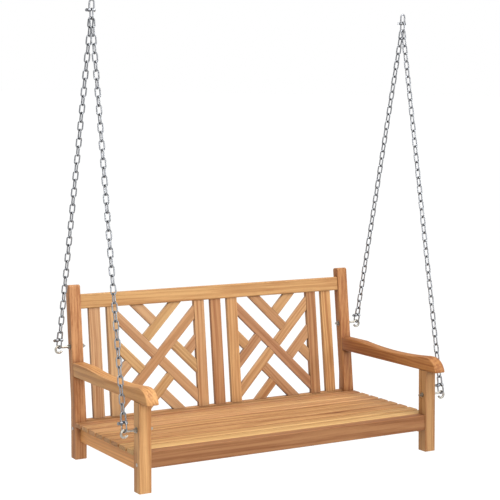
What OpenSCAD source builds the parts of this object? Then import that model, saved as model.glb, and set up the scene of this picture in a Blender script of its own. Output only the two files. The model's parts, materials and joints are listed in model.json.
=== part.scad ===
// Porch swing: a slatted hardwood bench with a lattice back, hung on four chain runs.
// The bench is drawn with X across it, Y from the front posts towards the back and Z up from
// the feet of its posts. hang() then hangs it: the origin is midway between the two points that
// it hangs from, +Z is up and the front faces -Y. It hangs with its centre of mass straight below
// that line, so the seat slopes back a little, as a porch swing's does.

/* [Bench] */
// Width over the posts
bench_w = 1200; // [1000:10:1400]
// Depth from the front of the front posts to the back of the back posts
bench_d = 570; // [540:5:620]
// Width of every post and armrest
post_w = 44; // [40:1:50]
// Height of the seat over the feet
seat_h = 134; // [120:1:160]
// Height of the back posts over the feet
back_h = 622; // [600:1:660]
// Lean of the back
back_lean = 6.3; // [4:0.1:8]
// Thickness of the back posts above the seat
back_post_t = 34; // [32:1:38]

/* [Seat] */
// Number of seat slats
slat_count = 8; // [6:1:9]
// Thickness of a seat slat
slat_t = 15; // [12:1:18]
// Gap between two seat slats
slat_gap = 12; // [8:0.5:14]
// Height of the rails under and around the seat
rail_h = 55; // [50:1:60]
// Thickness of the side and rear rails
rail_t = 22; // [18:1:24]

/* [Back] */
// Height of the top rail
top_rail_h = 53; // [45:1:60]
// Thickness of the top rail
top_rail_t = 24; // [20:1:26]
// Width of a plain back slat
back_slat_w = 44; // [36:1:48]
// Width of a stile beside a lattice panel
stile_w = 43; // [36:1:46]
// Width of a lattice bar
bar_w = 36.5; // [30:0.5:38]
// Distance between the middles of the upright group of lattice bars
bar_pitch = 85; // [78:1:90]
// Distance between the middles of the sideways group of lattice bars
bar_side_pitch = 78; // [74:1:84]

/* [Armrests] */
// Height of the flat underside over the feet
arm_z = 297; // [280:1:310]
// Height of the armrest at its ends
arm_h = 50; // [46:1:54]
// How far the dip in the middle goes down
arm_dip = 11; // [6:1:14]
// How far the nose stands out in front of the post
arm_nose = 58; // [50:1:65]

/* [Chains] */
// Inside length of a link, which is the pitch of the chain
link_pitch = 29.8; // [29:0.1:30.5]
// Thickness of the link wire
link_wire = 5; // [4:0.5:5.5]
// Outside width of a link
link_w = 22; // [21:0.5:24]
// Outside width of the single links at the top and the bottom of the runs
wide_link_w = 27; // [26:0.5:29]
// Links in each back run
back_links = 38; // [36:2:38]
// Links in each front run
front_links = 44; // [42:2:44]
// Thickness of the shackle bow and its pin
shackle_wire = 6; // [5:0.5:6.5]
// Inside length of a shackle, from the crown to the pin
shackle_in = 28; // [26:1:32]
// Distance of each chain from the outer face of the posts
chain_out = 43; // [41:1:46]
// How far the seat slopes back when the swing hangs still
hang_lean = 3; // [2.5:0.1:3.5]

/* [Hook bolts] */
// Thickness of the hook bolt
hook_d = 8; // [7:0.5:8]
// Radius of the hook, to the middle of the rod
hook_r = 12; // [12:0.5:13]
// Height of the front hook bolts over the feet
front_hook_z = 206; // [190:1:220]
// Height of the back hook bolts over the feet
back_hook_z = 401; // [380:1:420]

/* [Hidden] */
$fn = 48;

LEFT = -1;
RIGHT = 1;
BIG = 2000;
edge = 3;                  // radius of the eased long edges
fit = 0.05;                // clearance of a bolt in its hole, on the radius
link_gap = 0.15;           // play of a link on the point that it pulls on
joint_gap = 0.4;           // play where the top links turn on the shackle pins
hook_gap = 1.1;            // play of the lower links on the hooks, which they cross at a slant

// Posts and rails
half_w = bench_w / 2;
post_in = half_w - post_w;             // inner face of the posts
foot_d = 42;                           // depth of the back post below the seat
back_y = bench_d - foot_d;             // front face of the back posts
rail_in = 4;                           // set-back of the front rail behind the front posts
front_rail_t = 38;
side_out = half_w - 18;                // outer face of the side rails
under_slats = seat_h - slat_t;
rear_rail_y = back_y + 13;
rear_rail_top = seat_h + 4.5;
tenon_l = 12;
tenon_t = 12;
tenon_in = 10;                         // shoulder above and below a tenon
bearer_h = 35;

// Seat slats, all alike but for the narrower last one
slat_y0 = post_w + 0.3;
slat_w = 50.8;
slat_ease = 4;
last_slat_w = back_y - 0.3 - slat_y(slat_count);

// Back, in the leaning frame whose Z runs up the front face of the back posts
top_rail_z = 403;
top_rail_y = 6;
stile_y = 11;
stile_t = 18;
back_slat_y = 12;
back_slat_t = 16;
bar_y = 13;
bar_t = 14;
panel_x = 250.5;                       // middle of each lattice panel
panel_w = 315;
back_slat_x = 500;

// Armrest
arm_nose_r = 60;
dip_front = 20;
dip_back = 430;
dip_r = (pow((dip_back - dip_front) / 2, 2) + pow(arm_dip, 2)) / (2 * arm_dip);

// Hook bolts
hook_turn = 8;                         // radius of the upward bend before the ring
hook_join = 2;                         // straight length between the bend and the ring
hook_up = 36.8699;                     // climb of that length: 3 up for every 4 along
hook_drop = (hook_turn + hook_r) * 0.8 - hook_turn - hook_join * 0.6;
hook_straight = chain_out - (hook_turn + hook_r) * 0.6 - hook_join * 0.8;
hook_end = 14;                         // length of thread inside the post's inner face
front_hook_y = post_w / 2;
back_hook_y = back_y + (back_hook_z - seat_h) * tan(back_lean) + back_post_t / 2;
nut_af = 13;
nut_h = 6.5;
washer_d = 19;
washer_t = 1.6;
rail_bolt_d = 6;
rail_bolt_l = 75;
front_bolt = [20, 92];                 // Y and Z of the bolts through the front posts
rear_bolt = [552, 109];                // Y and Z of the bolts through the back posts

// Suspension: each side is a rigid triangle from the top link to the two hooks
chain_x = half_w + chain_out;
ring_top = hook_r - hook_drop - hook_d / 2;
front_foot = [front_hook_y, front_hook_z + ring_top];
back_foot = [back_hook_y, back_hook_z + ring_top];
front_run = (front_links + 1) * link_pitch + shackle_in;
back_run = (back_links + 1) * link_pitch + shackle_in;
run_split = [4, 0];                    // half the distance between the runs, side by side in the top link
back_end = back_foot - run_split;
front_end = front_foot + run_split;
feet = back_end - front_end;
feet_l = norm(feet);
along = (pow(front_run, 2) - pow(back_run, 2) + pow(feet_l, 2)) / (2 * feet_l);
across = sqrt(pow(front_run, 2) - pow(along, 2));
peak = front_end + along * feet / feet_l + across * [-feet[1], feet[0]] / feet_l;
bow_r = (link_w - link_wire) / 2;
twist = 20;                            // turn of the lower links about their length
seat_drop = 1.5;                       // how far the two runs ride up the sides of the top link

teak = "peru";
teak_dark = "sienna";
teak_pale = "burlywood";
steel = "silver";

function slat_y(k) = slat_y0 + (k - 1) * (slat_w + slat_gap);
function run_angle(end) = atan2(end[0] - peak[0], peak[1] - end[1]);

// Hangs what is drawn in the bench's own frame from the bottom of the top links
module hang() {
    translate([0, 0, -shackle_in - link_pitch]) rotate([-hang_lean, 0, 0])
        translate([0, -peak[0], -peak[1]]) children();
}

// The leaning frame of the back
module lean() {
    translate([0, back_y, seat_h]) rotate([-back_lean, 0, 0]) children();
}

// Rectangle with eased corners, from the origin
module eased(w, h, r = edge) {
    translate([r, 0]) square([w - 2 * r, h]);
    translate([0, r]) square([w, h - 2 * r]);
    for (x = [r, w - r], y = [r, h - r])
        translate([x, y]) circle(r);
}

// Boards with eased long edges, from their lowest corner
module board_x(l, d, h, r = edge) {
    rotate([90, 0, 90]) linear_extrude(l) eased(d, h, r);
}
module board_y(w, l, h, r = edge) {
    translate([0, l, 0]) rotate([90, 0, 0]) linear_extrude(l) eased(w, h, r);
}
module board_z(w, d, l, r = edge) {
    linear_extrude(l) eased(w, d, r);
}

// A box between two corners
module span(from, to) {
    translate(from) cube(to - from);
}

// A rod along X between two places
module rod_x(x0, x1, y, z, d) {
    translate([x0, y, z]) rotate([0, 90, 0]) cylinder(h = x1 - x0, d = d);
}

// Keeps what is on one side of the bench, drawn for the right side
module on_side(side) {
    if (side == LEFT) mirror([1, 0, 0]) children();
    else children();
}

// ---- Tenons, drawn for the right side and shared by the mortises ----
module front_rail_tenon() {
    y = rail_in + (front_rail_t - tenon_t) / 2;
    span([post_in, y, seat_h - rail_h + tenon_in], [post_in + tenon_l, y + tenon_t, seat_h - tenon_in]);
}
module rear_rail_tenon() {
    y = rear_rail_y + (rail_t - tenon_t) / 2;
    span([post_in, y, rear_rail_top - rail_h + tenon_in],
         [post_in + tenon_l, y + tenon_t, rear_rail_top - tenon_in]);
}
module side_rail_tenons() {
    x = side_out - (rail_t + tenon_t) / 2;
    for (y = [post_w - tenon_l, back_y])
        span([x, y, under_slats - rail_h + tenon_in], [x + tenon_t, y + tenon_l, under_slats - tenon_in]);
}
module top_rail_tenon() {
    y = top_rail_y + (top_rail_t - tenon_t) / 2;
    lean() span([post_in, y, top_rail_z + tenon_in],
                [post_in + tenon_l, y + tenon_t, top_rail_z + top_rail_h - tenon_in]);
}
module post_head_tenon() {
    span([post_in + 12, 12, arm_z], [half_w - 12, post_w - 12, arm_z + 22]);
}
module arm_tail_tenon() {
    span([post_in + 12, back_y + 10, arm_z + 12], [half_w - 12, back_y + 36, arm_z + 36]);
}

// ---- Bolts along X, drawn for the right side ----
module rail_bolt(place, clear = 0) {
    d = rail_bolt_d + 2 * clear;
    head = 12 + 2 * clear;
    rod_x(half_w - rail_bolt_l, half_w, place[0], place[1], d);
    rod_x(half_w - 3, half_w + (clear > 0 ? 1 : 0.8), place[0], place[1], head);
}
module hook_bore(y, z) {
    rod_x(post_in - 1, half_w + 1, y, z, hook_d + 2 * fit);
}

// ---- Wooden frame ----
module front_post(side) {
    color(teak) hang() on_side(side) difference() {
        union() {
            translate([post_in, 0, 0]) board_z(post_w, post_w, arm_z);
            post_head_tenon();
        }
        front_rail_tenon();
        side_rail_tenons();
        rail_bolt(front_bolt, fit);
        hook_bore(front_hook_y, front_hook_z);
    }
}

// Side view of the back post: upright to the seat, then leaning, with a rounded head
module back_post_outline() {
    r = 9;
    lean_l = (back_h - seat_h) / cos(back_lean);
    rear_bend = seat_h + (foot_d - back_post_t / cos(back_lean)) / tan(back_lean);
    union() {
        translate([back_y, 0]) square([foot_d, seat_h]);
        intersection() {
            translate([back_y, seat_h]) rotate(-back_lean) union() {
                translate([-30, -30]) square([back_post_t + 60, lean_l - r + 30]);
                translate([r, -30]) square([back_post_t - 2 * r, lean_l + 30]);
                for (y = [r, back_post_t - r])
                    translate([y, lean_l - r]) circle(r);
            }
            translate([back_y, seat_h]) rotate(-back_lean) translate([0, -30]) square([60, BIG]);
            union() {
                translate([back_y, seat_h]) square([foot_d, rear_bend - seat_h]);
                translate([back_y, seat_h]) rotate(-back_lean) translate([0, -30])
                    square([back_post_t, BIG]);
            }
            translate([0, seat_h]) square([BIG, BIG]);
        }
    }
}

module back_post(side) {
    color(teak) hang() on_side(side) difference() {
        translate([post_in, 0, 0]) rotate([90, 0, 90]) linear_extrude(post_w) back_post_outline();
        rear_rail_tenon();
        side_rail_tenons();
        top_rail_tenon();
        arm_tail_tenon();
        rail_bolt(rear_bolt, fit);
        hook_bore(back_hook_y, back_hook_z);
    }
}

module front_rail() {
    color(teak_dark) hang() difference() {
        union() {
            translate([-post_in, rail_in, seat_h - rail_h]) board_x(2 * post_in, front_rail_t, rail_h);
            for (side = [LEFT, RIGHT]) on_side(side) front_rail_tenon();
        }
        for (side = [LEFT, RIGHT]) on_side(side) rail_bolt(front_bolt, fit);
    }
}

module rear_rail() {
    color(teak) hang() difference() {
        union() {
            translate([-post_in, rear_rail_y, rear_rail_top - rail_h]) board_x(2 * post_in, rail_t, rail_h);
            for (side = [LEFT, RIGHT]) on_side(side) rear_rail_tenon();
        }
        for (side = [LEFT, RIGHT]) on_side(side) rail_bolt(rear_bolt, fit);
    }
}

// Screws come up from deep holes in the rails and the bearer into the slats
module slat_screw(x, y, clear = 0) {
    bottom = under_slats - 25;
    translate([x, y, bottom]) cylinder(h = 35, d = 4 + 2 * clear);
    translate([x, y, bottom - (clear > 0 ? BIG / 4 : 0) - 2.5]) {
        cylinder(h = 2.5 + (clear > 0 ? BIG / 4 : 0), d = 8 + 2 * clear);
    }
}
module rail_screws(x, clear = 0) {
    for (k = [1:slat_count])
        slat_screw(x, slat_y(k) + (k < slat_count ? slat_w : last_slat_w) / 2, clear);
}

module side_rail(side) {
    color(teak) hang() on_side(side) difference() {
        union() {
            translate([side_out - rail_t, post_w, under_slats - rail_h])
                board_y(rail_t, back_y - post_w, rail_h);
            side_rail_tenons();
        }
        rail_screws(side_out - rail_t / 2, fit);
    }
}

module centre_bearer() {
    front = rail_in + front_rail_t;
    color(teak) hang() difference() {
        translate([-rail_t / 2, front, under_slats - bearer_h])
            board_y(rail_t, rear_rail_y - front, bearer_h);
        rail_screws(0, fit);
    }
}

module seat_slat(k) {
    w = k < slat_count ? slat_w : last_slat_w;
    shade = [teak_pale, teak, teak_pale, teak, teak_pale, teak, teak, teak_dark];
    color(shade[(k - 1) % 8]) hang() difference() {
        translate([-half_w, slat_y(k), under_slats]) board_x(bench_w, w, slat_t, slat_ease);
        for (x = [-side_out + rail_t / 2, 0, side_out - rail_t / 2])
            slat_screw(x, slat_y(k) + w / 2, fit);
    }
}

// Side view of the armrest: flat below, a long dip above and a round nose
module arm_outline() {
    top = arm_z + arm_h;
    rear = back_y + arm_h * 2;
    nose_y = arm_nose_r - arm_nose;
    difference() {
        union() {
            translate([nose_y, arm_z]) square([rear - nose_y, arm_h]);
            intersection() {
                translate([nose_y, top - arm_nose_r]) circle(arm_nose_r, $fn = 96);
                translate([nose_y - arm_nose_r, arm_z]) square([arm_nose_r, arm_h]);
            }
        }
        translate([(dip_front + dip_back) / 2, top - arm_dip + dip_r]) circle(dip_r, $fn = 360);
        translate([back_y, seat_h]) rotate(-back_lean) translate([0, -100]) square([200, BIG]);
    }
}

module armrest(side) {
    color(teak) hang() on_side(side) difference() {
        union() {
            translate([post_in, 0, 0]) rotate([90, 0, 90]) linear_extrude(post_w) arm_outline();
            arm_tail_tenon();
        }
        post_head_tenon();
    }
}

// ---- Back ----
module top_rail() {
    color(teak) hang() union() {
        lean() translate([-post_in, top_rail_y, top_rail_z]) board_x(2 * post_in, top_rail_t, top_rail_h, 5);
        for (side = [LEFT, RIGHT]) on_side(side) top_rail_tenon();
    }
}

// Cuts the foot of an upright level with the top of the rear rail
module above_rear_rail() {
    difference() {
        lean() children();
        span([-half_w, back_y - 100, rear_rail_top - 100], [half_w, bench_d + 100, rear_rail_top]);
    }
}

module upright(x, w, y, t, shade) {
    color(shade) hang() above_rear_rail()
        translate([x - w / 2, y, -10]) board_z(w, t, top_rail_z + 10, 2);
}

module stile(side, where) {
    offset_x = (panel_w + stile_w) / 2;
    x = side * (panel_x + (where == "outer" ? offset_x : -offset_x));
    upright(x, stile_w, stile_y, stile_t, where == "outer" ? teak_dark : teak);
}

// One lattice panel. Its bars run at 45 degrees, so they are laid out in a frame turned by 45
// degrees: "rising" bars run along its first axis and "falling" bars along its second.
module rising(off, from, to) {
    rotate(45) translate([from, off - bar_w / 2]) square([to - from, bar_w]);
}
module falling(off, from, to) {
    rotate(45) translate([off - bar_w / 2, from]) square([bar_w, to - from]);
}
module turned_pair() {
    children();
    rotate(180) children();
}

module lattice(side, shade) {
    bottom = rear_rail_top - seat_h - 12;
    middle = (top_rail_z + rear_rail_top - seat_h) / 2;
    color(shade) hang() above_rear_rail() on_side(side)
        translate([panel_x, bar_y + bar_t, 0]) rotate([90, 0, 0]) linear_extrude(bar_t) intersection() {
            translate([-panel_w / 2, bottom]) square([panel_w, top_rail_z - bottom]);
            translate([0, middle]) mirror([1, 0]) children();
        }
}

far = 400;
half_bar = bar_w / 2;
module lattice_main(side) {
    lattice(side, teak_dark) rising(0, -far, far);
}
module lattice_halves(side) {
    lattice(side, teak) turned_pair() falling(0, half_bar, far);
}
module lattice_bars(side) {
    lattice(side, teak) turned_pair() {
        rising(bar_pitch, half_bar, far);
        falling(bar_side_pitch, -far, -half_bar);
    }
}
module lattice_shorts(side) {
    lattice(side, teak_pale) turned_pair() {
        falling(bar_pitch, bar_pitch + half_bar, far);
        rising(-bar_side_pitch, bar_side_pitch + half_bar, far);
    }
}

// ---- Fastenings of the bench ----
module rail_bolts() {
    color(steel) hang() for (side = [LEFT, RIGHT], place = [front_bolt, rear_bolt])
        on_side(side) rail_bolt(place);
}

module slat_screws() {
    color(steel) hang() for (x = [-side_out + rail_t / 2, 0, side_out - rail_t / 2]) rail_screws(x);
}

// Rod bent in the XZ plane: the shank through the post, a short rise and the open ring
module hook(side, y, z) {
    color(steel) hang() on_side(side) translate([half_w, y, z]) rotate([90, 0, 0]) {
        translate([-post_w - hook_end, 0, 0]) rotate([0, 90, 0])
            cylinder(h = post_w + hook_end + hook_straight, d = hook_d);
        translate([hook_straight, hook_turn, 0]) rotate(-90)
            rotate_extrude(angle = hook_up) translate([hook_turn, 0]) circle(d = hook_d);
        translate([chain_out, -hook_drop, 0]) rotate(90 + hook_up) {
            translate([hook_r, 0, 0]) rotate([-90, 0, 0]) cylinder(h = hook_join, d = hook_d);
            mirror([0, 1, 0]) rotate_extrude(angle = 245 + hook_up) translate([hook_r, 0]) circle(d = hook_d);
        }
    }
}

module at_hooks() {
    for (side = [LEFT, RIGHT], place = [[front_hook_y, front_hook_z], [back_hook_y, back_hook_z]])
        hang() on_side(side) translate([0, place[0], place[1]]) children();
}
module nut(x) {
    translate([x, 0, 0]) rotate([0, 90, 0]) difference() {
        cylinder(h = nut_h, d = nut_af / cos(30), $fn = 6);
        translate([0, 0, -1]) cylinder(h = nut_h + 2, d = hook_d + 2 * fit);
    }
}
module washer(x) {
    translate([x, 0, 0]) rotate([0, 90, 0]) difference() {
        cylinder(h = washer_t, d = washer_d);
        translate([0, 0, -1]) cylinder(h = washer_t + 2, d = hook_d + 2 * fit);
    }
}
module hook_nuts() {
    color(steel) at_hooks() for (x = [post_in - washer_t - nut_h, half_w + washer_t]) nut(x);
}
module hook_washers() {
    color(steel) at_hooks() for (x = [post_in - washer_t, half_w]) washer(x);
}

// ---- Chains ----
// A link that hangs from the point it pulls on, in the XZ plane
module link(w, top, bottom) {
    r = (w - link_wire) / 2;
    upper = top + link_wire / 2 - r;
    lower = r - link_wire / 2 - link_pitch - bottom;
    for (x = [-r, r])
        translate([x, 0, lower]) cylinder(h = upper - lower, d = link_wire, $fn = 24);
    for (end = [[upper, 0], [lower, 180]])
        translate([0, 0, end[0]]) rotate([90, end[1], 0])
            rotate_extrude(angle = 180) translate([r, 0]) circle(d = link_wire, $fn = 24);
}

// Moves to the top of a chain run and turns so that the run goes straight down
module run(side, end) {
    split = end == back_end ? run_split : -run_split;
    hang() translate([side * chain_x, peak[0] + split[0], peak[1]])
        rotate([run_angle(end), 0, 0]) children();
}

module chain(side, end, count) {
    color(steel) run(side, end) for (k = [0:count - 1])
        translate([0, 0, -k * link_pitch]) rotate([0, 0, k % 2 * 90]) link(link_w, link_gap, link_gap);
}

// A bow shackle with its inner crown at the origin and its pin below, along X
module bow() {
    leg = shackle_in + shackle_wire / 2 - bow_r + shackle_wire / 2;
    translate([0, 0, shackle_wire / 2 - bow_r]) rotate([90, 0, 0])
        rotate_extrude(angle = 180) translate([bow_r, 0]) circle(d = shackle_wire, $fn = 32);
    difference() {
        for (x = [-bow_r, bow_r]) {
            translate([x, 0, shackle_wire / 2 - bow_r - leg]) cylinder(h = leg, d = shackle_wire);
            rod_x(x - 3.5, x + 3.5, 0, -shackle_in - shackle_wire / 2, 12);
        }
        rod_x(-link_w, link_w, 0, -shackle_in - shackle_wire / 2, shackle_wire + 2 * fit);
    }
}
module shackle_pin() {
    z = -shackle_in - shackle_wire / 2;
    rod_x(-13, 14, 0, z, shackle_wire);
    rod_x(-14.5, -12.2, 0, z, 10);
    translate([-18, 0, z]) rotate([90, 0, 0]) cylinder(h = 2.5, d = 11, center = true);
}

module lower_ends(side) {
    for (item = [[back_end, back_links], [front_end, front_links]])
        run(side, item[0]) translate([0, 0, -item[1] * link_pitch]) children();
}

module lower_shackles(side) {
    color(steel) lower_ends(side) bow();
}
module lower_shackle_pins(side) {
    color(steel) lower_ends(side) shackle_pin();
}
module lower_links(side) {
    color(steel) lower_ends(side) translate([0, 0, -shackle_in])
        rotate([0, 0, 90 + twist]) link(wide_link_w, link_gap, hook_gap);
}

module top_link(side) {
    color(steel) translate([side * chain_x, 0, -shackle_in])
        rotate([0, 0, 90]) link(wide_link_w, joint_gap, seat_drop);
}
module top_shackle(side) {
    color(steel) translate([side * chain_x, 0, 0]) bow();
}
module top_shackle_pin(side) {
    color(steel) translate([side * chain_x, 0, 0]) shackle_pin();
}

front_post(LEFT);  // front_post_left
front_post(RIGHT);  // front_post_right
back_post(LEFT);  // back_post_left
back_post(RIGHT);  // back_post_right
front_rail();
rear_rail();
side_rail(LEFT);  // side_rail_left
side_rail(RIGHT);  // side_rail_right
centre_bearer();
for (k = [1:slat_count])
    seat_slat(k);
armrest(LEFT);  // armrest_left
armrest(RIGHT);  // armrest_right
top_rail();
upright(-back_slat_x, back_slat_w, back_slat_y, back_slat_t, teak);  // back_slat_left
upright(0, back_slat_w, back_slat_y, back_slat_t, teak_pale);  // back_slat_centre
upright(back_slat_x, back_slat_w, back_slat_y, back_slat_t, teak);  // back_slat_right
stile(LEFT, "outer");  // outer_stile_left
stile(LEFT, "inner");  // inner_stile_left
stile(RIGHT, "inner");  // inner_stile_right
stile(RIGHT, "outer");  // outer_stile_right
lattice_main(LEFT);  // lattice_main_left
lattice_halves(LEFT);  // lattice_halves_left
lattice_bars(LEFT);  // lattice_bars_left
lattice_shorts(LEFT);  // lattice_shorts_left
lattice_main(RIGHT);  // lattice_main_right
lattice_halves(RIGHT);  // lattice_halves_right
lattice_bars(RIGHT);  // lattice_bars_right
lattice_shorts(RIGHT);  // lattice_shorts_right
rail_bolts();
slat_screws();
hook(LEFT, front_hook_y, front_hook_z);  // hook_front_left
hook(RIGHT, front_hook_y, front_hook_z);  // hook_front_right
hook(LEFT, back_hook_y, back_hook_z);  // hook_back_left
hook(RIGHT, back_hook_y, back_hook_z);  // hook_back_right
hook_nuts();
hook_washers();
chain(LEFT, back_end, back_links);  // chain_back_left
chain(LEFT, front_end, front_links);  // chain_front_left
chain(RIGHT, back_end, back_links);  // chain_back_right
chain(RIGHT, front_end, front_links);  // chain_front_right
lower_shackles(LEFT);  // lower_shackles_left
lower_shackles(RIGHT);  // lower_shackles_right
lower_shackle_pins(LEFT);  // lower_shackle_pins_left
lower_shackle_pins(RIGHT);  // lower_shackle_pins_right
lower_links(LEFT);  // lower_links_left
lower_links(RIGHT);  // lower_links_right
top_link(LEFT);  // top_link_left
top_link(RIGHT);  // top_link_right
top_shackle(LEFT);  // top_shackle_left
top_shackle(RIGHT);  // top_shackle_right
top_shackle_pin(LEFT);  // top_shackle_pin_left
top_shackle_pin(RIGHT);  // top_shackle_pin_right
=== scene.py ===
# A hanging porch swing: a teak bench with a lattice back, on four runs of zinc-plated chain.
# Everything is in metres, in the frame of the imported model: the origin is on the line that the
# swing hangs from, +Z is up and the front of the bench faces -Y.
import json
import math
import random

import bmesh
import bpy
from mathutils import Matrix, Vector


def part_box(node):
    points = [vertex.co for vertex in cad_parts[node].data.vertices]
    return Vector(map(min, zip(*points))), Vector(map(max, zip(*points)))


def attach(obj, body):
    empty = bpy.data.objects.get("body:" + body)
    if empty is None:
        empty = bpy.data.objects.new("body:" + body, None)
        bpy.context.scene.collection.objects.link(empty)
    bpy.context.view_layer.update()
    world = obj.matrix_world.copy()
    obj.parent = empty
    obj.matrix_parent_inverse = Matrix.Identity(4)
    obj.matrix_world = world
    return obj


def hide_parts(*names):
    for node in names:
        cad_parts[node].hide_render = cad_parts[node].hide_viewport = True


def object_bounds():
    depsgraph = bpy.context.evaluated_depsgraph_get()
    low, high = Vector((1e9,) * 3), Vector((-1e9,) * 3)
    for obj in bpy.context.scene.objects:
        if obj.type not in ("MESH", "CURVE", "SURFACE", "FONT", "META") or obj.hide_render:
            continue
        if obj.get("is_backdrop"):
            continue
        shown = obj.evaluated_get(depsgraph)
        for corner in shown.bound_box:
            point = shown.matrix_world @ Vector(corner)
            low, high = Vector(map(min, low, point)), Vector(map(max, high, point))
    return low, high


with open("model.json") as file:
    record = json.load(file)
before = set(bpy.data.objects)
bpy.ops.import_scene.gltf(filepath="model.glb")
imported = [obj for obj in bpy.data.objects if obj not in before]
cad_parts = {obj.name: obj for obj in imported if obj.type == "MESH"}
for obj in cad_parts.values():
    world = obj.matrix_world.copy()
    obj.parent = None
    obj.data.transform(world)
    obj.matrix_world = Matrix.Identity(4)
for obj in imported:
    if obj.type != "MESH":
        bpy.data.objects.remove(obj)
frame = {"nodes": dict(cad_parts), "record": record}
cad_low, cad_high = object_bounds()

nodes = frame["nodes"]
random.seed(11)


# ---- Front posts ----------------------------------------------------------------------------
# Two square posts of solid teak carry the front rail and the armrests. They are planed, their
# long edges are eased with a round-over cutter, and the whole bench is finished with teak oil.

HANG_LEAN = 3.0            # degrees that the whole bench slopes back as it hangs
BACK_LEAN = 6.3            # degrees that the back leans further than the legs
JOINT_SHADE = 0.055        # how far from a joint or gap the wood still darkens
GRAIN_TURN = {             # turns, in degrees, that bring a board's grain onto the first axis
    "across": (0, 0),
    "upright": (90, 0),
    "front to back": (0, -90),
    "rising": (45, 0),
    "falling": (-45, 0),
}


def linear(rgb):
    """A colour as a paint chart gives it, 0 to 255, as the shader wants it."""
    out = []
    for v in rgb:
        v /= 255
        out.append(v / 12.92 if v <= 0.04045 else ((v + 0.055) / 1.055) ** 2.4)
    return out


def scaled(rgb, r, g, b):
    """A linear colour made lighter or darker, each channel by its own factor."""
    return [min(rgb[0] * r, 1), min(rgb[1] * g, 1), min(rgb[2] * b, 1), 1]


class Shader:
    """A material's node tree, with short ways to add and join its nodes."""

    def __init__(self, name):
        self.material = bpy.data.materials.new(name)
        self.material.use_nodes = True
        self.tree = self.material.node_tree
        self.bsdf = self.tree.nodes["Principled BSDF"]

    def add(self, kind, inputs=None, **settings):
        node = self.tree.nodes.new("ShaderNode" + kind)
        for key, value in settings.items():
            setattr(node, key, value)
        for key, value in (inputs or {}).items():
            self.put(node.inputs[key], value)
        return node

    def put(self, socket, value):
        if isinstance(value, bpy.types.NodeSocket):
            self.tree.links.new(value, socket)
        else:
            socket.default_value = value

    def math(self, operation, a, b=0.0, c=0.0, clamp=False):
        node = self.add("Math", {0: a, 1: b, 2: c}, operation=operation, use_clamp=clamp)
        return node.outputs[0]

    def ramp(self, value, low, high, to_low=0.0, to_high=1.0):
        node = self.add("MapRange", {0: value, 1: low, 2: high, 3: to_low, 4: to_high},
                        interpolation_type="SMOOTHSTEP")
        return node.outputs[0]

    def mix(self, factor, a, b, blend="MIX"):
        node = self.add("Mix", data_type="RGBA", blend_type=blend, clamp_factor=True)
        self.put(node.inputs[0], factor)
        self.put(node.inputs[6], a)
        self.put(node.inputs[7], b)
        return node.outputs[2]

    def noise(self, vector, scale, detail=3.0, roughness=0.55, distortion=0.0):
        """Noise drawn out by a different amount along each axis."""
        drawn = self.add("Mapping", {0: vector, "Scale": scale})
        node = self.add("TexNoise", {"Vector": drawn.outputs[0], "Scale": 1.0, "Detail": detail,
                                     "Roughness": roughness, "Distortion": distortion})
        return node.outputs["Fac"]


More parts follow.
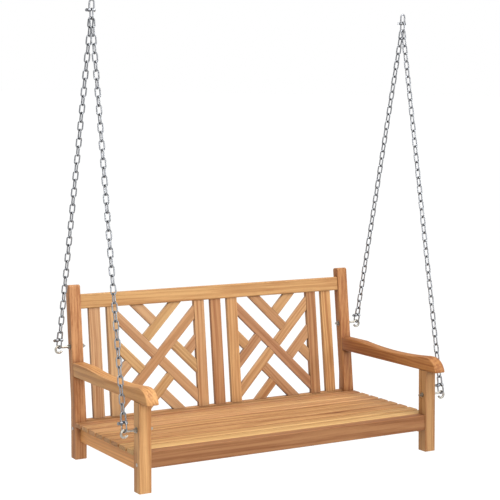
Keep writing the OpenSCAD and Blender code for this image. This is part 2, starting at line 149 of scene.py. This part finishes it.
def teak(name, tone, grain, lean=HANG_LEAN, pale=0.0, figure=1.0, profile=False, knot=None):
    """Oiled teak. pale is how much cream sapwood runs through it, figure how strong its bands are,
    and knot a place on the board. With no grain, each bar says which way its own grain runs."""
    s = Shader(name)
    tone = linear(tone)
    place = s.add("TexCoord")
    offset = [random.uniform(-3, 3) for _ in range(3)]

    def laid(way):
        about_y, about_z = GRAIN_TURN[way]
        turn = [math.radians(a) for a in (lean, about_y, about_z)]
        board = s.add("Mapping", {0: place.outputs["Object"], "Rotation": turn, "Location": offset})
        face = s.add("Mapping", {0: place.outputs["Normal"], "Rotation": turn}, vector_type="VECTOR")
        return board.outputs[0], face.outputs[0]

    if grain:
        along, facing = laid(grain)
    else:
        own = s.add("Attribute", attribute_name="bar").outputs["Fac"]
        rises = s.add("Attribute", attribute_name="rises").outputs["Fac"]
        ways = [s.add("Mix", {0: rises, 4: low, 5: high}, data_type="VECTOR").outputs[1]
                for low, high in zip(laid("falling"), laid("rising"))]
        step = s.add("CombineXYZ", {0: 0.0, 1: s.math("MULTIPLY", own, 3.7), 2: s.math("MULTIPLY", own, 5.1)})
        along = s.add("VectorMath", {0: ways[0], 1: step.outputs[0]}, operation="ADD").outputs[0]
        facing = ways[1]

    # broad bands, the growth rings, fine lines and open pores, all drawn out along the grain
    sway = s.add("TexNoise", {"Vector": s.add("Mapping", {0: along, "Scale": (2.2, 1.5, 1.5)}).outputs[0],
                              "Scale": 1.0, "Detail": 1.0})
    sway = s.add("VectorMath", {0: sway.outputs["Color"], 1: (0, 0.022, 0.022)}, operation="MULTIPLY")
    bent = s.add("VectorMath", {0: along, 1: sway.outputs[0]}, operation="ADD").outputs[0]
    bands = s.noise(bent, (0.7, 55, 55), 4, 0.72)
    drift = s.noise(bent, (1.0, 9, 9), 2, 0.5)
    lines = s.noise(bent, (2.6, 240, 240), 4, 0.70)
    pores = s.noise(bent, (42, 1150, 1150), 2, 0.5)
    pith = s.add("Mapping", {0: bent, "Scale": (0.05, 1, 1)}).outputs[0]
    rings = s.add("TexWave", {"Vector": pith, "Scale": 30.0, "Distortion": 5.0, "Detail": 2.0,
                              "Detail Scale": 0.2, "Detail Roughness": 0.6},
                  wave_type="RINGS", rings_direction="X", wave_profile="SIN").outputs["Fac"]
    depth = s.math("ADD", s.math("MULTIPLY", bands, 0.60), s.math("MULTIPLY", rings, 0.08 * figure))
    depth = s.math("ADD", depth, s.math("MULTIPLY", lines, 0.40))
    depth = s.ramp(depth, 0.41, 0.65)
    dark = scaled(tone, 1 - 0.27 * figure, 1 - 0.43 * figure, 1 - 0.56 * figure)
    light = scaled(tone, 1 + 0.22 * figure, 1 + 0.27 * figure, 1 + 0.22 * figure)
    colour = s.mix(depth, dark, light)
    colour = s.mix(s.ramp(drift, 0.46, 0.72, 0.0, 0.40 * figure), colour, scaled(tone, 0.92, 0.74, 0.58))
    if pale:
        colour = s.mix(s.ramp(s.noise(bent, (0.5, 34, 34), 2, 0.5), 0.54, 0.66, 0.0, pale), colour,
                       scaled(tone, 1.24, 1.36, 1.34))
    if not grain:
        colour = s.mix(s.ramp(own, 0.0, 1.0, 0.0, 0.45), colour, scaled(tone, 1.24, 1.28, 1.12))
    if knot:
        spot = s.add("VectorMath", {0: place.outputs["Object"], 1: knot}, operation="SUBTRACT").outputs[0]
        spot = s.add("Mapping", {0: spot, "Scale": (14, 80, 0)}).outputs[0]
        ragged = s.math("MULTIPLY", s.noise(place.outputs["Object"], (60, 240, 60), 3), 1.2)
        far = s.math("ADD", s.add("VectorMath", {0: spot}, operation="LENGTH").outputs["Value"], ragged)
        colour = s.mix(s.ramp(far, 0.6, 1.7, 0.95, 0.0), colour, scaled(tone, 0.42, 0.25, 0.17))
    scratch = s.ramp(lines, 0.58, 0.74, 0.0, 0.42)
    colour = s.mix(scratch, colour, scaled(tone, 0.50, 0.38, 0.28))
    speck = s.ramp(pores, 0.62, 0.72, 0.0, 0.30)
    colour = s.mix(speck, colour, scaled(tone, 0.42, 0.30, 0.22))

    # eased edges are painted paler, partly as rubbed wear and partly as painted highlight; the ends show
    # darker end grain
    parts = s.add("SeparateXYZ", {0: facing}).outputs
    flat = [s.math("ABSOLUTE", p) for p in parts]
    if profile:
        side = s.math("ABSOLUTE", s.add("SeparateXYZ", {0: place.outputs["Normal"]}).outputs[0])
        rest = s.math("SQRT", s.math("SUBTRACT", 1.0, s.math("MULTIPLY", side, side), clamp=True))
        square = s.math("MAXIMUM", side, rest)
    else:
        square = s.math("MAXIMUM", flat[0], s.math("MAXIMUM", flat[1], flat[2]))
    edge = s.ramp(square, 0.90, 0.995, 0.34, 0.0)
    # painted highlight and rubbed wear, paler along the eased edges
    rub_and_highlight = s.math("MULTIPLY", edge, s.ramp(s.noise(along, (30, 30, 30), 3), 0.3, 0.65, 0.2, 1.0))
    colour = s.mix(rub_and_highlight, colour, scaled(tone, 1.18, 1.26, 1.28))
    end = s.ramp(flat[0], 0.90, 0.97, 0.0, 0.15 if profile else 0.6)
    colour = s.mix(end, colour, s.mix(rings, scaled(tone, 0.72, 0.62, 0.50), scaled(tone, 1.0, 0.92, 0.80)))

    # painted shade: the wood is darkened near the joints, in the gaps between the boards and on the faces
    # between the bars
    open_air = s.add("AmbientOcclusion", {"Distance": JOINT_SHADE}, samples=12).outputs["AO"]
    colour = s.mix(s.ramp(open_air, 0.12, 0.92, 0.82, 0.0), colour, scaled(tone, 0.26, 0.16, 0.10))

    s.put(s.bsdf.inputs["Base Color"], colour)
    gloss = s.math("ADD", s.math("MULTIPLY", lines, 0.16), s.math("MULTIPLY", bands, 0.14))
    s.put(s.bsdf.inputs["Roughness"], s.math("ADD", gloss, 0.38))
    s.bsdf.inputs["Specular IOR Level"].default_value = 0.30
    height = s.math("SUBTRACT", s.math("MULTIPLY", lines, 0.8), s.math("MULTIPLY", speck, 1.6))
    bump = s.add("Bump", {"Strength": 0.35, "Distance": 0.0007, "Height": height})
    s.put(s.bsdf.inputs["Normal"], bump.outputs[0])
    return s.material


def dress(node, material):
    """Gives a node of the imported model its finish."""
    nodes[node].data.materials.clear()
    nodes[node].data.materials.append(material)


dress("front_post_left", teak("teak_front_post_left", (193, 145, 97), "upright", pale=0.75))
dress("front_post_right", teak("teak_front_post_right", (167, 124, 83), "upright", pale=0.25))


# ---- Back posts -----------------------------------------------------------------------------
# Each back post is cut from one wide board: upright below the seat, then leaning back, with its
# head rounded. Its edges are eased like the front posts', all the way round the outline.

POST_EASE = 0.003          # radius of the round-over, as on the front posts
WHOLE_OUTLINE = 0.3        # an outline spanning more than this is the board's own, not a mortise
FLAT = 0.5                 # degrees between faces that lie in one plane
CORNER = 35                # degrees between faces that meet in an edge to be eased
CREASE = 24                # degrees between faces that are shaded apart


def eased_copy(node, name, ease, smallest, by_bar=False, segments=3):
    """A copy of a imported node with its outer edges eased. Outlines smaller than smallest, such as
    the bores and the mortises, stay sharp."""
    bm = bmesh.new()
    bm.from_mesh(nodes[node].data)
    bmesh.ops.remove_doubles(bm, verts=bm.verts, dist=1e-6)
    bmesh.ops.dissolve_limit(bm, angle_limit=math.radians(FLAT), verts=bm.verts, edges=bm.edges)
    corner = math.radians(CORNER)
    sharp = {e for e in bm.edges if len(e.link_faces) == 2 and e.calc_face_angle(0) > corner}
    outline = []
    while sharp:
        group, todo = [], [sharp.pop()]
        while todo:
            edge = todo.pop()
            group.append(edge)
            near = {e for v in edge.verts for e in v.link_edges if e in sharp}
            sharp -= near
            todo += near
        points = [v.co for e in group for v in e.verts]
        span = Vector([max(p[i] for p in points) - min(p[i] for p in points) for i in range(3)])
        if span.length > smallest:
            outline += group
    bmesh.ops.bevel(bm, geom=outline, offset=ease, offset_type="OFFSET", affect="EDGES",
                    segments=segments, profile=0.5, material=-1, clamp_overlap=True)
    if by_bar:
        number_bars(bm)
    return finished(bm, name)


def number_bars(bm):
    """Gives each separate bar its own number, from 0 to 1, so that no two look alike, and says
    whether it rises towards +X."""
    own = bm.faces.layers.float.new("bar")
    rises = bm.faces.layers.float.new("rises")
    left = set(bm.faces)
    while left:
        value, todo = random.random(), [min(left, key=lambda f: f.index)]
        left.discard(todo[0])
        bar = []
        while todo:
            face = todo.pop()
            bar.append(face)
            near = {f for e in face.edges for f in e.link_faces if f in left}
            left -= near
            todo += near
        slope = sum((e.verts[0].co.x - e.verts[1].co.x) * (e.verts[0].co.z - e.verts[1].co.z)
                    for f in bar for e in f.edges)
        for face in bar:
            face[own] = value
            face[rises] = 1.0 if slope > 0 else 0.0


def finished(bm, name):
    """Makes the built mesh an object, smooth except across its creases."""
    mesh = bpy.data.meshes.new(name)
    bm.to_mesh(mesh)
    bm.free()
    piece = bpy.data.objects.new(name, mesh)
    bpy.context.scene.collection.objects.link(piece)
    mesh.shade_smooth()
    mesh.set_sharp_from_angle(angle=math.radians(CREASE))
    return piece


def wooden(piece, material, slot, *replaced):
    """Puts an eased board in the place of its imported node, as part of the bench."""
    piece.data.materials.append(material)
    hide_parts(*replaced)
    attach(piece, "bench")


for side, tone in (("left", (181, 130, 89)), ("right", (169, 118, 76))):
    post = eased_copy(f"back_post_{side}", f"back_post_{side}_eased", POST_EASE, WHOLE_OUTLINE)
    finish = teak(f"teak_back_post_{side}", tone, "upright", pale=0.15, profile=True)
    wooden(post, finish, "teak", f"back_post_{side}")


# ---- Seat frame -----------------------------------------------------------------------------
# A deep front rail of redder teak, two side rails, a thin rear rail and a bearer under the middle
# carry the slats. All are planed boards, tenoned into the posts and pinned by bolts.

dress("front_rail", teak("teak_front_rail", (150, 104, 68), "across", figure=0.9))
dress("rear_rail", teak("teak_rear_rail", (178, 132, 90), "across"))
for side in ("left", "right"):
    dress(f"side_rail_{side}", teak(f"teak_side_rail_{side}", (225, 163, 102), "front to back", figure=0.6))
dress("centre_bearer", teak("teak_centre_bearer", (165, 120, 82), "front to back"))


# ---- Seat slats -----------------------------------------------------------------------------
# Eight slats run the full width over the side rails, a finger's width of air between them.
# Cream sapwood and brown heartwood lie side by side in them, and the third has a knot.

SLATS = [                  # each slat's tone, its share of sapwood and the strength of its bands
    ((197, 158, 106), 0.30, 0.9),
    ((186, 145, 97), 0.20, 1.1),
    ((175, 129, 85), 0.35, 1.2),
    ((184, 140, 95), 0.15, 1.0),
    ((177, 132, 88), 0.45, 1.2),
    ((189, 142, 99), 0.20, 0.9),
    ((193, 149, 104), 0.10, 1.0),
    ((174, 128, 88), 0.15, 1.1),
]
KNOTTY = 3
low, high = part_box(f"seat_slat_{KNOTTY}")
knot_place = (high.x * 0.5, low.y + 0.7 * (high.y - low.y), 0)
for number, (tone, pale, figure) in enumerate(SLATS, 1):
    knot = knot_place if number == KNOTTY else None
    finish = teak(f"teak_seat_slat_{number}", tone, "across", pale=pale, figure=figure, knot=knot)
    dress(f"seat_slat_{number}", finish)


# ---- Armrests -------------------------------------------------------------------------------
# Each armrest is sawn from a thick board with a long shallow dip on top and a rounded nose, then
# rounded over along every edge. It sits on the front post and butts against the back post.

ARM_EASE = 0.004           # radius of the round-over on the armrests
for side, tone in (("left", (193, 142, 91)), ("right", (160, 107, 62))):
    arm = eased_copy(f"armrest_{side}", f"armrest_{side}_eased", ARM_EASE, WHOLE_OUTLINE)
    finish = teak(f"teak_armrest_{side}", tone, "front to back", pale=0.2, profile=True)
    wooden(arm, finish, "teak", f"armrest_{side}")


# ---- Top rail, back slats and stiles --------------------------------------------------------
# The top rail is tenoned between the back posts. Three plain slats and four stiles of about the
# same width stand between it and the rear rail and frame the two lattice panels. All lean back.

LEAN = HANG_LEAN + BACK_LEAN
dress("top_rail", teak("teak_top_rail", (188, 145, 97), "across", lean=LEAN, figure=0.8))
UPRIGHTS = {
    "back_slat_left": (192, 152, 116),
    "outer_stile_left": (184, 146, 108),
    "inner_stile_left": (180, 136, 97),
    "back_slat_centre": (171, 124, 87),
    "inner_stile_right": (192, 147, 102),
    "outer_stile_right": (168, 123, 86),
    "back_slat_right": (193, 148, 101),
}
for node, tone in UPRIGHTS.items():
    dress(node, teak(f"teak_{node}", tone, "upright", lean=LEAN, pale=0.35))


# ---- Lattice --------------------------------------------------------------------------------
# Each panel is a lattice of eleven bars at 45 degrees. One long bar crosses the panel, and the
# ten shorter ones butt against it and against each other.

BAR_EASE = 0.0016          # the bars are only rubbed down with sandpaper
EVERY_OUTLINE = 0.0        # bars have no mortises, so every outline is eased
LATTICE = {
    "lattice_main_left": (172, 129, 94),
    "lattice_main_right": (161, 115, 84),
    "lattice_halves_left": (181, 140, 106),
    "lattice_halves_right": (180, 137, 97),
    "lattice_bars_left": (181, 143, 102),
    "lattice_bars_right": (168, 125, 91),
    "lattice_shorts_left": (179, 140, 107),
    "lattice_shorts_right": (175, 133, 94),
}
for node, tone in LATTICE.items():
    bars = eased_copy(node, f"{node}_eased", BAR_EASE, EVERY_OUTLINE, by_bar=True, segments=2)
    slot = next(p["material_slot"] for p in frame["record"]["subparts"] if p["node"] == node)
    wooden(bars, teak(f"teak_{node}", tone, None, lean=LEAN), slot, node)


# ---- Chains, shackles and hook bolts --------------------------------------------------------
# Welded-link chain, bow shackles with screw pins and hook bolts with nuts and washers. All of it
# is mild steel with bright zinc plating, dulled a little in patches, and painted shade darkens it where the
# pieces meet.

LINK_SHADE = 0.010         # how far from a neighbouring link the steel still darkens


def zinc(name, tone, rough, shade_depth):
    """Dulled zinc plating, darkened by painted shade where pieces meet. rough is how matt its brightest parts
    are, and the last argument how dark that painted shade is.
    """
    s = Shader(name)
    tone = linear(tone)
    place = s.add("TexCoord").outputs["Object"]
    cloud = s.noise(place, (60, 60, 60), 3, 0.6)
    grit = s.noise(place, (900, 900, 900), 2, 0.5)
    colour = s.mix(s.ramp(cloud, 0.35, 0.7), scaled(tone, 0.86, 0.87, 0.90), scaled(tone, 1.06, 1.06, 1.05))
    # painted shade: the steel is darkened almost to black where links and pieces nearly touch
    hidden = s.add("AmbientOcclusion", {"Distance": LINK_SHADE}, samples=6)
    painted_link_shade = s.math("SUBTRACT", 1.0, hidden.outputs["AO"])
    painted_link_shade = s.ramp(painted_link_shade, 0.12, 0.62, 0.0, shade_depth)
    colour = s.mix(painted_link_shade, colour, (0.03, 0.027, 0.025, 1))
    s.put(s.bsdf.inputs["Base Color"], colour)
    s.bsdf.inputs["Metallic"].default_value = 1.0
    s.put(s.bsdf.inputs["Roughness"], s.ramp(s.math("ADD", cloud, s.math("MULTIPLY", grit, 0.3)),
                                             0.35, 0.9, rough, rough + 0.16))
    bump = s.add("Bump", {"Strength": 0.12, "Distance": 0.0003, "Height": grit})
    s.put(s.bsdf.inputs["Normal"], bump.outputs[0])
    return s.material


chain_steel = zinc("zinc_plated_chain", (162, 164, 167), 0.25, 0.95)
shackle_steel = zinc("zinc_plated_shackle", (160, 161, 164), 0.26, 0.9)
bolt_steel = zinc("zinc_plated_bolt", (196, 190, 178), 0.22, 0.7)
for side in ("left", "right"):
    for node in ("chain_back", "chain_front", "lower_links", "top_link"):
        dress(f"{node}_{side}", chain_steel)
    for node in ("lower_shackles", "lower_shackle_pins", "top_shackle", "top_shackle_pin"):
        dress(f"{node}_{side}", shackle_steel)
    for node in ("hook_front", "hook_back"):
        dress(f"{node}_{side}", bolt_steel)
for node in ("hook_nuts", "hook_washers", "rail_bolts", "slat_screws"):
    dress(node, bolt_steel)


# ---- Floor, light and camera ----------------------------------------------------------------
# A pale studio floor lies well under the bench, which hangs clear of it. Large soft lights stand
# round it and above it, and the camera looks from the front left, about a metre above the seat.

FLOOR_GAP = 0.42           # from the lowest point of the feet down to the floor
FLOOR_REACH = 60           # from the middle of the floor to its edges
floor_level = cad_low.z - FLOOR_GAP
bm = bmesh.new()
bmesh.ops.create_grid(bm, x_segments=1, y_segments=1, size=FLOOR_REACH)
bmesh.ops.translate(bm, verts=bm.verts, vec=(0, 0, floor_level))
floor = finished(bm, "studio_floor")
paper = Shader("studio_paper")
grain = paper.noise(paper.add("TexCoord").outputs["Object"], (3, 3, 3), 3)
paper.put(paper.bsdf.inputs["Base Color"], paper.mix(grain, (0.66, 0.66, 0.66, 1), (0.70, 0.70, 0.70, 1)))
paper.bsdf.inputs["Roughness"].default_value = 0.9
seen = paper.add("LightPath").outputs["Is Camera Ray"]
glow = paper.add("Emission", {"Color": (1, 1, 1, 1), "Strength": 1.12})
both = paper.add("MixShader", {0: paper.math("MULTIPLY", seen, 0.86), 1: paper.bsdf.outputs[0],
                               2: glow.outputs[0]})
paper.put(paper.tree.nodes["Material Output"].inputs["Surface"], both.outputs[0])
floor.data.materials.append(paper.material)
floor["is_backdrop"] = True

# white paper all round, which throws a softer, greyer light on the swing than it shows
world = bpy.data.worlds.new("studio")
bpy.context.scene.world = world
world.use_nodes = True
room = world.node_tree
height = room.nodes.new("ShaderNodeTexCoord")
split = room.nodes.new("ShaderNodeSeparateXYZ")
rise = room.nodes.new("ShaderNodeMapRange")
rise.inputs["From Min"].default_value = 0.0
rise.inputs["From Max"].default_value = 0.9
rise.inputs["To Min"].default_value = 0.15
rise.inputs["To Max"].default_value = 0.85
seen = room.nodes.new("ShaderNodeLightPath")
shown = room.nodes.new("ShaderNodeMix")
shown.inputs[3].default_value = 1.0
room.links.new(height.outputs["Generated"], split.inputs[0])
room.links.new(split.outputs[2], rise.inputs["Value"])
room.links.new(seen.outputs["Is Camera Ray"], shown.inputs[0])
room.links.new(rise.outputs[0], shown.inputs[2])
room.links.new(shown.outputs[0], room.nodes["Background"].inputs["Strength"])
room.nodes["Background"].inputs["Color"].default_value = (1, 1, 1, 1)


def soft_light(name, place, target, size, power):
    """A round lamp, size across, turned to face the target."""
    data = bpy.data.lights.new(name, "AREA")
    data.shape = "DISK"
    data.size = size
    data.energy = power
    lamp = bpy.data.objects.new(name, data)
    lamp.location = place
    lamp.rotation_euler = (Vector(target) - Vector(place)).to_track_quat("-Z", "Y").to_euler()
    bpy.context.scene.collection.objects.link(lamp)


middle = (cad_low + cad_high) / 2
soft_light("light_above", (0.3, -1.4, 2.4), middle, 2.4, 105)
soft_light("light_front", (-1.9, -4.4, 0.5), middle, 2.0, 88)
soft_light("light_right", (3.4, -3.0, 0.6), middle, 1.8, 56)
soft_light("light_behind", (-1.5, 4.2, 1.2), middle, 2.4, 60)

# the camera's place is given on the bench as if it stood level on its feet, then turned with it
BENCH_ORIGIN = (0, -0.27098, -1.55410)   # the foot of the front posts, from where the chains meet
MEETING_DROP = 0.0578                    # from the line it hangs from down to where the chains meet
CAMERA_PLACE = (-2.5080, -4.0007, 1.2066)
CAMERA_TURN = 30.126                     # degrees turned right from facing the bench squarely
CAMERA_DIP = 2.411                       # degrees below the level
data = bpy.data.cameras.new("camera")
data.sensor_width = 36
data.lens = 99.2
data.shift_y = -0.14
data.clip_start = 0.1
data.clip_end = 200
camera = bpy.data.objects.new("camera", data)
bpy.context.scene.collection.objects.link(camera)
bench_turn = Matrix.Rotation(math.radians(-HANG_LEAN), 4, "X")
meeting = Matrix.Translation((0, 0, -MEETING_DROP))
bench_place = meeting @ bench_turn @ Matrix.Translation(BENCH_ORIGIN)
stand = Matrix.Translation(CAMERA_PLACE) @ Matrix.Rotation(math.radians(-CAMERA_TURN), 4, "Z")
camera.matrix_world = bench_place @ stand @ Matrix.Rotation(math.radians(90 - CAMERA_DIP), 4, "X")
bpy.context.scene.camera = camera
bpy.context.scene.view_settings.view_transform = "Standard"
bpy.context.scene.view_settings.look = "None"

low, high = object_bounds()
